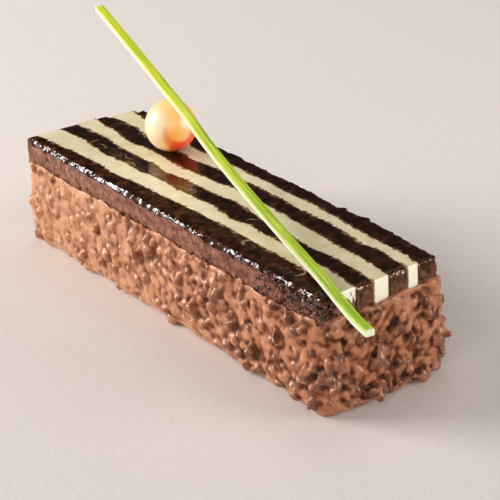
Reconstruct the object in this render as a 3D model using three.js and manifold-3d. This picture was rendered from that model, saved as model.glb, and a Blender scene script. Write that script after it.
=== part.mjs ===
// An entremet cake: a nut-studded milk chocolate base, a slab of upright dark and cream
// strips on top of it, a glazed ball, and a thin green stalk that leans over the ball.
// Millimetres, +Z up. The origin is the middle of the base's underside, +X runs to the
// near end of the cake and +Y to its far long side.
import * as THREE from 'three';
import { mergeVertices } from 'three/addons/utils/BufferGeometryUtils.js';
import Module from 'manifold-3d';

const wasm = await Module();
wasm.setup();

// Slab of strips
const SLAB_LEFT = -124;
const SLAB_RIGHT = 122;
const SLAB_HALF_WIDTH = 34;
const SLAB_TOP = 58;
const SLAB_BOTTOM = 44;
const PIECE_GAP = 0.2;

// Each seam between two strips, as its y at five even places along the slab
const SEAMS = [
  [-34.0, -34.0, -34.0, -34.0, -34.0],
  [-28.5, -24.5, -21.5, -20.5, -23.0],
  [-14.5, -13.5, -12.3, -11.5, -15.0],
  [-4.5, -4.8, -2.0, -3.8, -4.5],
  [6.0, 4.5, 7.5, 8.3, 4.8],
  [14.5, 13.8, 16.8, 17.3, 15.5],
  [27.5, 24.5, 23.5, 24.5, 22.6],
  [33.6, 33.8, 34.2, 34.4, 33.8],
];
const SEAM_WOBBLE = 0.5;
const SEAM_WAVE = 29;

// Strips from the near long side to the far one
const STRIPS = [
  { name: 'dark_strip_1', dark: true, left: -124.5, right: 121.0 },
  { name: 'cream_strip_1', dark: false, left: -123.3, right: 122.0 },
  { name: 'dark_strip_2', dark: true, left: -124.2, right: 121.8 },
  { name: 'cream_strip_2', dark: false, left: -122.8, right: 122.6 },
  { name: 'dark_strip_3', dark: true, left: -122.2, right: 121.6 },
  { name: 'cream_strip_3', dark: false, left: -118.5, right: 122.4 },
  { name: 'dark_strip_4', dark: true, left: -115.5, right: 120.8 },
];
const STRIP_STATIONS = 30;
const DARK_EDGE = 1.6;
const DARK_EDGE_DROP = 1.3;
const SEAM_EDGE_DROP = 0.3;
const CREAM_EDGE_DROP = 0.25;
const CORNER_CUT = 1.1;
const CRUMB_RELIEF = 0.45;
const FLAKE_X = 62;
const FLAKE_WIDTH = 7;
const FLAKE_REACH = 1.4;

// Coated base
const BASE_LEFT = -125.5;
const BASE_RIGHT = 123;
const WALL_STATION_STEP = 7.4;
const CORNER_STATIONS = 4;
const CORNER_RADIUS = 6.5;
const LEFT_END_SKEW = 7;
const LIP_HEIGHT = 46;
const LIP_RISE_AT_END = 1.2;
const LIP_WAVE = 1.1;
const LIP_WAVES = 11;
const WALL_PROFILE = [
  { height: 0, out: -2.0 },
  { height: 2.5, out: 0.9 },
  { height: 8, out: 2.5 },
  { height: 20, out: 2.8 },
  { height: 33, out: 2.4 },
  { height: 42, out: 1.9 },
  { height: 46, out: 1.2 },
];
const WALL_WAVE = 0.9;
const WALL_WAVES = 17;
const WALL_RIPPLES = 31;
const FOOT_FLARE = 3.6;
const FOOT_FLARE_HEIGHT = 13;
const FOOT_FLARE_FADE_Y = 10;
const POCKET_CLEARANCE = 0.25;
const POCKET_STATIONS = 30;

// Nut pieces under the coat
const LUMP_SEED = 421;
const LUMP_ROWS = 4;
const LUMP_ROW_FIRST = 6.5;
const LUMP_ROW_STEP = 10.3;
const LUMPS_A_ROW = 50;
const LUMP_JITTER = 3.8;
const LUMP_MIN_WIDTH = 4.8;
const LUMP_MAX_WIDTH = 8.6;
const LUMP_SUNK = 0.14;
const LUMP_SHAPE_JITTER = 0.16;
const FAR_LEFT_GROWTH = 0.9;
const NEAR_END_GROWTH = 1.15;

// Ball
const BALL_RADIUS = 13.3;
const BALL_X = -58.8;
const BALL_Y = 13.1;
const BALL_SEGMENTS = 24;
const BALL_RINGS = 16;

// Green stalk: it rests on the ball's top and on the slab's near end edge, and bows down
// a little between them
const STALK_WIDTH = 4.4;
const STALK_THICKNESS = 3.4;
const STALK_CROWN = 0.35;
const STALK_ROUTE = [
  new THREE.Vector3(155.4, -34.1, 54.9),
  new THREE.Vector3(121.9, -26.6, 59.8),
  new THREE.Vector3(72.0, -15.4, 65.6),
  new THREE.Vector3(15.0, -2.4, 73.4),
  new THREE.Vector3(-56.4, 13.7, 86.7),
  new THREE.Vector3(-110.0, 25.8, 96.0),
  new THREE.Vector3(-159.6, 37.1, 103.6),
];
const STALK_STEPS = 22;

const finish = (color, roughness) =>
  new THREE.MeshStandardMaterial({ color, roughness, metalness: 0 });

// Closed mesh with shared vertices, from any three.js geometry
function weld(geometry) {
  const bare = geometry.index ? geometry.clone() : mergeVertices(geometry);
  bare.deleteAttribute('normal');
  bare.deleteAttribute('uv');
  return mergeVertices(bare, 1e-4);
}

function toSolid(geometry) {
  const welded = weld(geometry);
  const mesh = new wasm.Mesh({
    numProp: 3,
    vertProperties: new Float32Array(welded.attributes.position.array),
    triVerts: new Uint32Array(welded.index.array),
  });
  return new wasm.Manifold(mesh);
}

function toGeometry(solid) {
  const mesh = solid.getMesh();
  const geometry = new THREE.BufferGeometry();
  geometry.setAttribute('position', new THREE.BufferAttribute(mesh.vertProperties, 3));
  geometry.setIndex(new THREE.BufferAttribute(mesh.triVerts, 1));
  geometry.computeVertexNormals();
  return geometry;
}

function moveVertices(geometry, place) {
  const positions = geometry.attributes.position;
  for (let i = 0; i < positions.count; i += 1) {
    const moved = place(new THREE.Vector3().fromBufferAttribute(positions, i));
    positions.setXYZ(i, moved.x, moved.y, moved.z);
  }
  return geometry;
}

// Smooth value at x, from values given at even places along the slab
function alongSlab(values, x) {
  const share = THREE.MathUtils.clamp((x - SLAB_LEFT) / (SLAB_RIGHT - SLAB_LEFT), 0, 1);
  const place = share * (values.length - 1);
  const i = Math.min(Math.floor(place), values.length - 2);
  const blend = THREE.MathUtils.smoothstep(place - i, 0, 1);
  return THREE.MathUtils.lerp(values[i], values[i + 1], blend);
}

function seamY(index, x) {
  const phase = index * 1.7;
  const wobble = Math.sin((2 * Math.PI * x) / SEAM_WAVE + phase) * SEAM_WOBBLE;
  const isNearSide = index === 0;
  const isFarSide = index === SEAMS.length - 1;
  const flake = FLAKE_REACH * Math.exp(-(((x - FLAKE_X) / FLAKE_WIDTH) ** 2));
  return alongSlab(SEAMS[index], x) + (isNearSide ? 0 : wobble) + (isFarSide ? flake : 0);
}

// Stations along a strip are even, but for one close to each end, where the edge rounds
function stationX(share, left, right, rounding) {
  const index = Math.round(share * STRIP_STATIONS);
  if (index === 0) return left;
  if (index === STRIP_STATIONS) return right;
  const inner = (index - 1) / (STRIP_STATIONS - 2);
  return THREE.MathUtils.lerp(left + rounding, right - rounding, inner);
}

// One strip: a box whose long faces follow the two seams. Dark strips have round edges,
// and the two outermost faces are crumbly.
function stripGeometry(index) {
  const strip = STRIPS[index];
  const isNearest = index === 0;
  const isFarthest = index === STRIPS.length - 1;
  const across = strip.dark ? 3 : 1;
  const levels = isNearest || isFarthest ? 3 : 1;
  const rounding = strip.dark ? DARK_EDGE : CREAM_EDGE_DROP;
  const endDrop = strip.dark ? DARK_EDGE_DROP : CREAM_EDGE_DROP;
  const box = new THREE.BoxGeometry(1, 1, 1, STRIP_STATIONS, across, levels);
  return moveVertices(box, (corner) => {
    const u = corner.x + 0.5;
    const v = corner.y + 0.5;
    const w = corner.z + 0.5;
    const x = stationX(u, strip.left, strip.right, rounding);
    const nearY = seamY(index, x) + PIECE_GAP / 2;
    const farY = seamY(index + 1, x) - PIECE_GAP / 2;
    const atNearEdge = v < 0.01;
    const atFarEdge = v > 0.99;
    const atEnd = u < 0.001 || u > 0.999;
    let y = THREE.MathUtils.lerp(nearY, farY, v);
    if (!atNearEdge && !atFarEdge) y = v < 0.5 ? nearY + DARK_EDGE : farY - DARK_EDGE;
    let drop = atEnd ? endDrop : 0;
    if (strip.dark && (atNearEdge || atFarEdge)) drop = Math.max(drop, SEAM_EDGE_DROP);
    if ((isNearest && atNearEdge) || (isFarthest && atFarEdge)) {
      const crumb = Math.sin(x * 1.9 + w * 7) * Math.sin(x * 0.61 + w * 11);
      const inwards = atNearEdge ? 1 : -1;
      drop = Math.max(drop, DARK_EDGE_DROP);
      y += inwards * (CRUMB_RELIEF * Math.abs(crumb) + (atEnd ? CORNER_CUT : 0));
    }
    const z = THREE.MathUtils.lerp(SLAB_BOTTOM, SLAB_TOP - drop, w);
    return new THREE.Vector3(x, y, z);
  });
}

// The pocket in the base's top that the slab sits in, a little wider than the slab. Its
// outline steps from one strip's end to the next on the shorter strip's side of the seam.
function pocketGeometry() {
  const outline = new THREE.Shape();
  const last = STRIPS.length - 1;
  const stepY = (index, x, reach) => {
    if (index === 0) return seamY(index, x) - POCKET_CLEARANCE;
    if (index > last) return seamY(index, x) + 2 * POCKET_CLEARANCE;
    const nearIsLonger = reach(STRIPS[index - 1]) > reach(STRIPS[index]);
    return seamY(index, x) + (nearIsLonger ? POCKET_CLEARANCE : -POCKET_CLEARANCE);
  };
  const rightReach = (strip) => strip.right;
  const leftReach = (strip) => -strip.left;
  STRIPS.forEach((strip, index) => {
    const x = strip.right + POCKET_CLEARANCE;
    if (index === 0) outline.moveTo(x, stepY(index, x, rightReach));
    else outline.lineTo(x, stepY(index, x, rightReach));
    outline.lineTo(x, stepY(index + 1, x, rightReach));
  });
  for (let i = 1; i < POCKET_STATIONS; i += 1) {
    const share = i / POCKET_STATIONS;
    const x = THREE.MathUtils.lerp(STRIPS[last].right, STRIPS[last].left, share);
    outline.lineTo(x, stepY(last + 1, x, leftReach));
  }
  for (let index = last; index >= 0; index -= 1) {
    const x = STRIPS[index].left - POCKET_CLEARANCE;
    outline.lineTo(x, stepY(index + 1, x, leftReach));
    outline.lineTo(x, stepY(index, x, leftReach));
  }
  outline.closePath();
  const depth = SLAB_TOP - SLAB_BOTTOM;
  const pocket = new THREE.ExtrudeGeometry(outline, { depth, bevelEnabled: false });
  return pocket.translate(0, 0, SLAB_BOTTOM - POCKET_CLEARANCE);
}

// Outline that the coat is built out from, with round corners. Its left end is then cut
// a little askew by outlinePoint.
function footprint() {
  const left = BASE_LEFT;
  const right = BASE_RIGHT;
  const side = SLAB_HALF_WIDTH;
  const radius = CORNER_RADIUS;
  const outline = new THREE.Shape();
  outline.moveTo(left + radius, -side);
  outline.lineTo(right - radius, -side);
  outline.absarc(right - radius, -side + radius, radius, -Math.PI / 2, 0);
  outline.lineTo(right, side - radius);
  outline.absarc(right - radius, side - radius, radius, 0, Math.PI / 2);
  outline.lineTo(left + radius, side);
  outline.absarc(left + radius, side - radius, radius, Math.PI / 2, Math.PI);
  outline.lineTo(left, -side + radius);
  outline.absarc(left + radius, -side + radius, radius, Math.PI, Math.PI * 1.5);
  return outline;
}

const OUTLINE = footprint();

function outlinePoint(share) {
  const point = OUTLINE.getPoint(((share % 1) + 1) % 1);
  const towardsLeft = (BASE_RIGHT - point.x) / (BASE_RIGHT - BASE_LEFT);
  const towardsFar = (point.y + SLAB_HALF_WIDTH) / (2 * SLAB_HALF_WIDTH);
  point.x += LEFT_END_SKEW * towardsLeft * towardsFar;
  return point;
}

function outlineNormal(share) {
  const step = 0.002;
  const run = outlinePoint(share + step).sub(outlinePoint(share - step)).normalize();
  return new THREE.Vector2(run.y, -run.x);
}

// How far the coat stands out from that outline at a height
function coatOut(share, height) {
  const last = WALL_PROFILE.length - 1;
  let i = 0;
  while (i < last - 1 && height > WALL_PROFILE[i + 1].height) i += 1;
  const low = WALL_PROFILE[i];
  const high = WALL_PROFILE[i + 1];
  const rise = THREE.MathUtils.clamp((height - low.height) / (high.height - low.height), 0, 1);
  const base = THREE.MathUtils.lerp(low.out, high.out, rise);
  const angle = 2 * Math.PI * share;
  const wave = Math.sin(WALL_WAVES * angle + height / 9) + 0.6 * Math.sin(WALL_RIPPLES * angle);
  const point = outlinePoint(share);
  const nearEnd = THREE.MathUtils.smoothstep(point.x, BASE_RIGHT - 14, BASE_RIGHT - 2);
  const fade = 1 - THREE.MathUtils.smoothstep(point.y, FOOT_FLARE_FADE_Y, SLAB_HALF_WIDTH);
  const footShare = 1 - THREE.MathUtils.smoothstep(height, 2, FOOT_FLARE_HEIGHT);
  return base + (WALL_WAVE * wave) / 1.6 + FOOT_FLARE * nearEnd * fade * footShare;
}

function wallPoint(share, height) {
  const point = outlinePoint(share);
  const normal = outlineNormal(share);
  const out = coatOut(share, height);
  return new THREE.Vector3(point.x + normal.x * out, point.y + normal.y * out, height);
}

function lipHeight(share) {
  const point = outlinePoint(share);
  const nearEnd = THREE.MathUtils.smoothstep(point.x, BASE_RIGHT - 10, BASE_RIGHT - 2);
  const angle = 2 * Math.PI * share;
  const wave = Math.sin(LIP_WAVES * angle + 0.8) + 0.7 * Math.sin(27 * angle);
  return LIP_HEIGHT + LIP_RISE_AT_END * nearEnd + (LIP_WAVE * wave) / 1.7;
}

// Places round the outline, as shares of its length: even along the sides, closer at the
// corners
function wallStations() {
  const whole = OUTLINE.getLength();
  const stations = [];
  let walked = 0;
  for (const curve of OUTLINE.curves) {
    const length = curve.getLength();
    const isCorner = length < 2 * CORNER_RADIUS;
    const count = isCorner ? CORNER_STATIONS : Math.round(length / WALL_STATION_STEP);
    for (let i = 0; i < count; i += 1) stations.push((walked + (length * i) / count) / whole);
    walked += length;
  }
  return stations;
}

// Core of the base: an upright cylinder whose rings are laid onto the wavy wall
function baseCore() {
  const rings = WALL_PROFILE.length - 1;
  const stations = wallStations();
  const drum = new THREE.CylinderGeometry(1, 1, 1, stations.length, rings);
  drum.rotateX(Math.PI / 2);
  return moveVertices(drum, (corner) => {
    const level = Math.round((corner.z + 0.5) * rings);
    const isCapCentre = Math.hypot(corner.x, corner.y) < 0.5;
    const turn = (Math.atan2(corner.y, corner.x) + Math.PI / 2) / (2 * Math.PI);
    const index = Math.round(turn * stations.length) + stations.length;
    const share = stations[index % stations.length];
    const isTop = level === rings;
    if (isCapCentre) return new THREE.Vector3(0, 0, isTop ? LIP_HEIGHT : 0);
    const height = isTop ? lipHeight(share) : WALL_PROFILE[level].height;
    return wallPoint(share, height);
  });
}

// Repeatable random numbers from 0 to 1
function randomFrom(seed) {
  let state = seed;
  return () => {
    state = (state * 16807) % 2147483647;
    return state / 2147483647;
  };
}

// One nut piece: a squat twenty-sided lump with its corners moved a little
function lumpGeometry(size, turn, random) {
  const lump = weld(new THREE.IcosahedronGeometry(0.5, 0));
  moveVertices(lump, (corner) => corner.multiplyScalar(1 + (random() - 0.5) * 2 * LUMP_SHAPE_JITTER));
  lump.applyMatrix4(new THREE.Matrix4().makeRotationFromEuler(turn));
  lump.scale(size.x, size.y, size.z);
  return lump;
}

// Every nut piece, in rows round the wall. Each lies with its flat side against the wall.
function lumpSolids() {
  const random = randomFrom(LUMP_SEED);
  const solids = [];
  for (let row = 0; row < LUMP_ROWS; row += 1) {
    for (let i = 0; i < LUMPS_A_ROW; i += 1) {
      const jitter = (2 * random() - 1) * LUMP_JITTER;
      const perimeter = OUTLINE.getLength();
      const share = (i + (row % 2) / 2) / LUMPS_A_ROW + jitter / perimeter;
      const height = LUMP_ROW_FIRST + row * LUMP_ROW_STEP + (2 * random() - 1) * LUMP_JITTER;
      const pick = random();
      const width = THREE.MathUtils.lerp(LUMP_MIN_WIDTH, LUMP_MAX_WIDTH, pick * pick);
      const tall = width * (0.85 + 0.5 * random());
      const deep = width * (0.75 + 0.2 * random());
      const turn = new THREE.Euler(random() * Math.PI, random() * Math.PI, 0);
      const spot = wallPoint(share, height);
      const normal = outlineNormal(share);
      const towardsRight = THREE.MathUtils.smoothstep(spot.x, BASE_LEFT, BASE_RIGHT);
      const growth = THREE.MathUtils.lerp(FAR_LEFT_GROWTH, NEAR_END_GROWTH, towardsRight);
      const size = new THREE.Vector3(deep, width, tall).multiplyScalar(growth);
      const lump = lumpGeometry(size, turn, random);
      lump.rotateZ(Math.atan2(normal.y, normal.x));
      const sunk = size.x * LUMP_SUNK;
      lump.translate(spot.x - normal.x * sunk, spot.y - normal.y * sunk, spot.z);
      solids.push(toSolid(lump));
    }
  }
  return solids;
}

// Block that clears what would hang below the resting plane
function belowGround() {
  const depth = 20;
  const block = new THREE.BoxGeometry(400, 200, depth);
  block.translate(0, 0, -depth / 2);
  return toSolid(block);
}

function coatedBase() {
  let solid = toSolid(baseCore());
  for (const lump of lumpSolids()) solid = solid.add(lump);
  solid = solid.subtract(toSolid(pocketGeometry()));
  solid = solid.subtract(belowGround());
  const mesh = new THREE.Mesh(toGeometry(solid), finish(0x9a6446, 0.42));
  mesh.name = 'coated_base';
  return mesh;
}

function strips() {
  const slab = new THREE.Group();
  STRIPS.forEach((strip, index) => {
    const material = strip.dark ? finish(0x24120c, 0.25) : finish(0xe9dfb4, 0.45);
    const mesh = new THREE.Mesh(weld(stripGeometry(index)), material);
    mesh.name = strip.name;
    slab.add(mesh);
  });
  return slab;
}

function ball() {
  const sphere = new THREE.SphereGeometry(BALL_RADIUS, BALL_SEGMENTS, BALL_RINGS);
  sphere.rotateX(Math.PI / 2);
  const mesh = new THREE.Mesh(weld(sphere), finish(0xf0a060, 0.2));
  mesh.name = 'ball';
  mesh.position.set(BALL_X, BALL_Y, SLAB_TOP + PIECE_GAP + BALL_RADIUS);
  return mesh;
}

// Section of the stalk: flat below and at the sides, with a lightly crowned skin on top.
// Its x is downwards and its y sideways.
function stalkSection() {
  const half = STALK_WIDTH / 2;
  const up = -STALK_THICKNESS / 2;
  const corner = 0.5;
  const section = new THREE.Shape();
  section.moveTo(-up, -half + corner);
  section.lineTo(-up, half - corner);
  section.lineTo(-up - corner, half);
  section.lineTo(up + corner + STALK_CROWN, half);
  section.lineTo(up + STALK_CROWN, half - corner);
  section.lineTo(up, 0);
  section.lineTo(up + STALK_CROWN, -half + corner);
  section.lineTo(up + corner + STALK_CROWN, -half);
  section.lineTo(-up - corner, -half);
  section.closePath();
  return section;
}

function greenStalk() {
  const route = new THREE.CatmullRomCurve3(STALK_ROUTE, false, 'centripetal');
  const bar = new THREE.ExtrudeGeometry(stalkSection(), {
    steps: STALK_STEPS,
    extrudePath: route,
  });
  const mesh = new THREE.Mesh(weld(bar), finish(0x9fc43a, 0.4));
  mesh.name = 'green_stalk';
  return mesh;
}

const cake = new THREE.Group();
cake.add(coatedBase());
cake.add(strips());
cake.add(ball());
cake.add(greenStalk());

export default cake;
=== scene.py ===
import math
import random

import bmesh
import bpy
from mathutils import Matrix, Vector, noise
from mathutils.bvhtree import BVHTree
from mathutils.kdtree import KDTree


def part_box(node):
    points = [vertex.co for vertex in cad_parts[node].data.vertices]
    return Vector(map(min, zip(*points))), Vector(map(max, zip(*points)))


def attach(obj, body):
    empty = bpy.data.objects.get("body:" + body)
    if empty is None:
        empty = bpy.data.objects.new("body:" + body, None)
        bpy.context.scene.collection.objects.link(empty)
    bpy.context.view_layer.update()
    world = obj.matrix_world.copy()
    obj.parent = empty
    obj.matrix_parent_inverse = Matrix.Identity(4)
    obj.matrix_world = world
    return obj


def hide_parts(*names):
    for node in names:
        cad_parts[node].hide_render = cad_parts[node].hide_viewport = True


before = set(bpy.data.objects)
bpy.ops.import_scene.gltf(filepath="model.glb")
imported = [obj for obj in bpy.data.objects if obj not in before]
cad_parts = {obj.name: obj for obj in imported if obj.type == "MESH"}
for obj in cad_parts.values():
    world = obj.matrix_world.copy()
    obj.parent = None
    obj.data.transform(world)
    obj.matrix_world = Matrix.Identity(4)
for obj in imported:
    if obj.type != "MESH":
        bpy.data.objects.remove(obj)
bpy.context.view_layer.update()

# ---------------------------------------------------------------------------
# Camera. The cake is seen from above the corner where its near long side meets its
# near end, through a long lens, with the camera rolled a few degrees.
mm = 0.001
camera_place = Vector((748.6, -510.4, 465.1)) * mm
view_azimuth = math.radians(54.86)
view_elevation = math.radians(25.85)
view_roll = math.radians(-3.0)
film_width = 36
lens_length = 147.6
view_reach = 20

towards_camera = Vector((
    math.sin(view_azimuth) * math.cos(view_elevation),
    -math.cos(view_azimuth) * math.cos(view_elevation),
    math.sin(view_elevation),
))
level_right = Vector((math.cos(view_azimuth), math.sin(view_azimuth), 0))
level_up = towards_camera.cross(level_right)
view_right = math.cos(view_roll) * level_right + math.sin(view_roll) * level_up
view_up = math.cos(view_roll) * level_up - math.sin(view_roll) * level_right

camera_data = bpy.data.cameras.new("camera")
camera_data.sensor_width = film_width
camera_data.lens = lens_length
camera_data.clip_end = view_reach
camera = bpy.data.objects.new("camera", camera_data)
camera.matrix_world = Matrix.Translation(camera_place) @ Matrix((
    (view_right.x, view_up.x, towards_camera.x),
    (view_right.y, view_up.y, towards_camera.y),
    (view_right.z, view_up.z, towards_camera.z),
)).to_4x4()
bpy.context.collection.objects.link(camera)
bpy.context.scene.camera = camera


# ---------------------------------------------------------------------------
# The base. A block of cake dipped in melted milk chocolate full of chopped nuts,
# which set as a thick lumpy coat with an uneven lip round the slab on top.
coat_voxel = 0.74 * mm
coat_smoothing = 1
relief_smoothing = 20
underside = 0.5 * mm
least_height = 0.02 * mm
pocket_half_width = 31 * mm
pocket_half_length = 112 * mm

# The lip: of what rises above it only a share is kept, but for the stretch at the near end
lip_foot = 43 * mm
lip_height = 45.6 * mm
lip_rise = 0.9 * mm
lip_share = 0.25
lip_end = 106 * mm

# Nut pieces: how many lie on each part of the wall, how large they are there, and where
nut_seed = 77
nut_radius = (1.2 * mm, 2.9 * mm)
nut_height_range = (3.0 * mm, 43.5 * mm)
side_nuts = 100
side_crowding = 0.62
near_end_nuts = 48
near_end_size = 1.15
far_end_nuts = 25
far_end_size = 0.75
foot_nuts = 7
foot_size = 0.85
foot_height_range = (0.8 * mm, 5 * mm)
lip_nuts = 45
lip_size = 0.7
lip_depth_range = (-1.6 * mm, 0.3 * mm)
flattest_wall = 0.8
beside_cake = 80 * mm
beyond_cake = 200 * mm

# The most that a point may stand proud of its surroundings, in mm
proud_limit = 0.85
edge_proud_limit = 0.45
edge_band = (4 * mm, 42 * mm)
pull_back = 0.85

# Direction away from the key light: painted shade darkens each nut and lump on the side turned this
# way
painted_shade_side = Vector((0.6, 0.6, -0.35))
nut_and_shade_seed = 5


def add_piece(name, mesh_maker, node=None, material=None):
    """Turns a bmesh into a smooth piece of the cake, which may stand for a CAD node."""
    mesh = bpy.data.meshes.new(name)
    mesh_maker.to_mesh(mesh)
    mesh_maker.free()
    for face in mesh.polygons:
        face.use_smooth = True
    piece = bpy.data.objects.new(name, mesh)
    bpy.context.collection.objects.link(piece)
    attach(piece, "root")
    if node:
        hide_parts(node)
    if material:
        mesh.materials.append(material)
    return piece


def apply_modifiers(piece):
    """Replaces a piece's mesh with what its modifiers make of it."""
    graph = bpy.context.evaluated_depsgraph_get()
    finished = bpy.data.meshes.new_from_object(piece.evaluated_get(graph))
    piece.modifiers.clear()
    piece.data = finished


def smooth_step(value, low, high):
    """0 below low and 1 above high, with a soft change between them."""
    share = min(max((value - low) / (high - low), 0), 1)
    return share * share * (3 - 2 * share)


def bumps(place, *layers):
    """Layers of soft bumps, each given by its height and its bumps' width in mm."""
    return sum(height * noise.noise(place / width) for height, width in layers)


def merged_copy(node):
    """A bmesh of a CAD node, with its loose triangles joined."""
    copy = bmesh.new()
    copy.from_mesh(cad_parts[node].data)
    bmesh.ops.remove_doubles(copy, verts=copy.verts, dist=1e-6)
    return copy


def broken_lump(body, radius, depth, pitch, variant):
    """Adds a small ball with a broken surface at the origin, and gives its corners."""
    corners = bmesh.ops.create_icosphere(body, subdivisions=2, radius=radius)["verts"]
    for corner in corners:
        corner.co *= 1 + depth * noise.noise(corner.co / radius * pitch + variant)
    return corners


def press_nut(body, wall, start, direction, draw, size=1.0):
    """Sets one more nut piece into the wall where a line from outside meets it. It lies
    flat against the wall, with a width, a length and a turn of its own."""
    spot, normal, _, _ = wall.ray_cast(start, direction)
    if spot is None or abs(normal.z) > flattest_wall:
        return []
    radius = size * (nut_radius[0] + (nut_radius[1] - nut_radius[0]) * draw.random() ** 1.25)
    stretch = Matrix.Diagonal((0.8, 0.7 + 0.3 * draw.random(), 0.95 + 0.7 * draw.random())).to_4x4()
    tumble = Matrix.Rotation(draw.uniform(-1.2, 1.2), 4, "X")
    facing = normal.to_track_quat("X", "Z").to_matrix().to_4x4()
    bold = smooth_step(spot.x, 0.0, 100 * mm)
    centre = spot + normal * radius * draw.uniform(0.15 * bold, 0.4 + 0.3 * bold)
    corners = broken_lump(body, radius, 0.42 + 0.1 * bold, 1.4, spot * 900)
    place = Matrix.Translation(centre) @ facing @ tumble @ stretch
    bmesh.ops.transform(body, matrix=place, verts=corners)
    return [(centre, radius)]


def coat_block():
    """The CAD base with the smaller nut pieces added all round, and where they lie."""
    nuts = []
    draw = random.Random(nut_seed)
    body = merged_copy("coated_base")
    wall = BVHTree.FromBMesh(body)
    low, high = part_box("coated_base")
    for side in (-1, 1):
        at_near_end = side > 0
        across = Vector((0, -side, 0))
        inwards = Vector((-side, 0, 0))
        for _ in range(side_nuts):
            x = low.x + (high.x - low.x) * draw.random() ** side_crowding
            z = draw.uniform(*nut_height_range)
            nuts += press_nut(body, wall, Vector((x, side * beside_cake, z)), across, draw)
        end_size = near_end_size if at_near_end else far_end_size
        for _ in range(near_end_nuts if at_near_end else far_end_nuts):
            y = draw.uniform(low.y, high.y)
            z = draw.uniform(*nut_height_range)
            nuts += press_nut(body, wall, Vector((side * beyond_cake, y, z)), inwards, draw, end_size)
        for _ in range(foot_nuts if at_near_end else 0):
            y = draw.uniform(low.y, high.y)
            z = draw.uniform(*foot_height_range)
            nuts += press_nut(body, wall, Vector((beyond_cake, y, z)), inwards, draw, foot_size)
        for _ in range(lip_nuts):
            x = draw.uniform(low.x, high.x)
            z = lip_height + draw.uniform(*lip_depth_range)
            nuts += press_nut(body, wall, Vector((x, side * beside_cake, z)), across, draw, lip_size)
    return body, nuts


def join_flats(skin):
    """Joins the cells of the flat underside and of the pocket's floor into large faces."""
    flats = []
    for face in skin.faces:
        middle = face.calc_center_median()
        in_pocket = abs(middle.y) < pocket_half_width and abs(middle.x) < pocket_half_length
        if abs(face.normal.z) > 0.995 and (middle.z < underside or in_pocket):
            flats.append(face)
    bmesh.ops.dissolve_faces(skin, faces=flats)


def soften(skin, corners, rounds):
    """Smooths the given corners evenly, a number of times."""
    for _ in range(rounds):
        bmesh.ops.smooth_vert(skin, verts=corners, factor=0.5,
                              use_axis_x=True, use_axis_y=True, use_axis_z=True)
    skin.normal_update()


def swell_skin(skin):
    """Heaps the chocolate up in soft lumps, bolder towards the near end."""
    for v in skin.verts:
        if v.co.z <= underside:
            continue
        p = v.co / mm
        heap = 0.45 + 0.65 * smooth_step(p.x, -60, 120)
        lumpy = 0.42 + 0.58 * smooth_step(p.x, -60, 100)
        swell = heap * bumps(p, (1, 9), (0.2, 4.2)) + bumps(p, (0.05, 1.7))
        swell += lumpy * bumps(p, (0.62, 4.2), (0.26, 2.1))
        v.co += v.normal * mm * swell
        if v.co.z > lip_foot:
            v.co.z += mm * 0.7 * noise.noise(Vector((p.x / 4, p.y / 4, 7)))
        v.co.z = max(v.co.z, least_height)
    skin.normal_update()


def read_relief(skin):
    """How far each point stands proud of a much smoother copy of the skin, in mm, and how
    much more than that copy it turns away from the key light, for painted shade. What stands too far
    is pulled back."""
    rest = [v.co.copy() for v in skin.verts]
    facing = [v.normal.copy() for v in skin.verts]
    soften(skin, skin.verts, relief_smoothing)
    proud = [(a - v.co).dot(v.normal) / mm for a, v in zip(rest, skin.verts)]
    facing_painted_shade = [(n - v.normal).dot(painted_shade_side) for n, v in zip(facing, skin.verts)]
    lip_top = lip_height + lip_rise
    for v, a, amount in zip(skin.verts, rest, proud):
        limit = proud_limit if edge_band[0] <= a.z <= edge_band[1] else edge_proud_limit
        v.co = a - v.normal * mm * max(amount - limit, 0) * pull_back
        v.co.z = max(v.co.z, 0.0)
        if v.co.z > lip_top and v.co.x < lip_end:
            v.co.z = lip_top + lip_share * (v.co.z - lip_top)
    return proud, facing_painted_shade


def paint_coat(skin, nuts, proud, facing_painted_shade):
    """Paints the relief, and the nuts' colour with painted shade: darker brown where the skin over
    a nut is thin, and painted shade on each nut's and lump's side turned away from the key light."""
    draw = random.Random(nut_and_shade_seed)
    nut_tree = KDTree(len(nuts))
    nut_and_shade_strengths = []
    for i, (centre, radius) in enumerate(nuts):
        # Each nut's dark patch is moved towards its side away from the key light, as painted shade
        nut_tree.insert(centre + painted_shade_side * radius * 0.3, i)
        strong = draw.random() ** 0.7
        nut_and_shade_strengths.append((0.3 + 0.7 * strong) * (0.6 + 0.4 * smooth_step(centre.x, -90 * mm, 0.0)))
    nut_tree.balance()
    relief = skin.verts.layers.float.new("relief")
    nut_and_painted_shade = skin.verts.layers.float.new("nut_and_painted_shade")
    for v, amount, away_from_key_light in zip(skin.verts, proud, facing_painted_shade):
        p = v.co / mm
        corner = smooth_step(abs(p.x), 117, 122) * smooth_step(abs(p.y), 32, 37)
        rim = max(smooth_step(p.z, 41, 44), 1 - smooth_step(p.z, 1, 4), corner)
        if amount > 0:
            amount *= 1 - 0.75 * rim
        v[relief] = amount
        on_crest = 0.45 * smooth_step(amount, 0.38, 0.8)
        # Painted shade on slopes turned away from the key light
        painted_lee_shade = 0.95 * smooth_step(amount, -0.12, 0.2) * smooth_step(away_from_key_light, 0.08, 0.42)
        shown = max(on_crest, painted_lee_shade)
        for _, i, distance in nut_tree.find_n(v.co, 3):
            shown = max(shown, nut_and_shade_strengths[i] * (1 - smooth_step(distance / nuts[i][1], 0.85, 1.3)))
        v[nut_and_painted_shade] = shown


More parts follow.
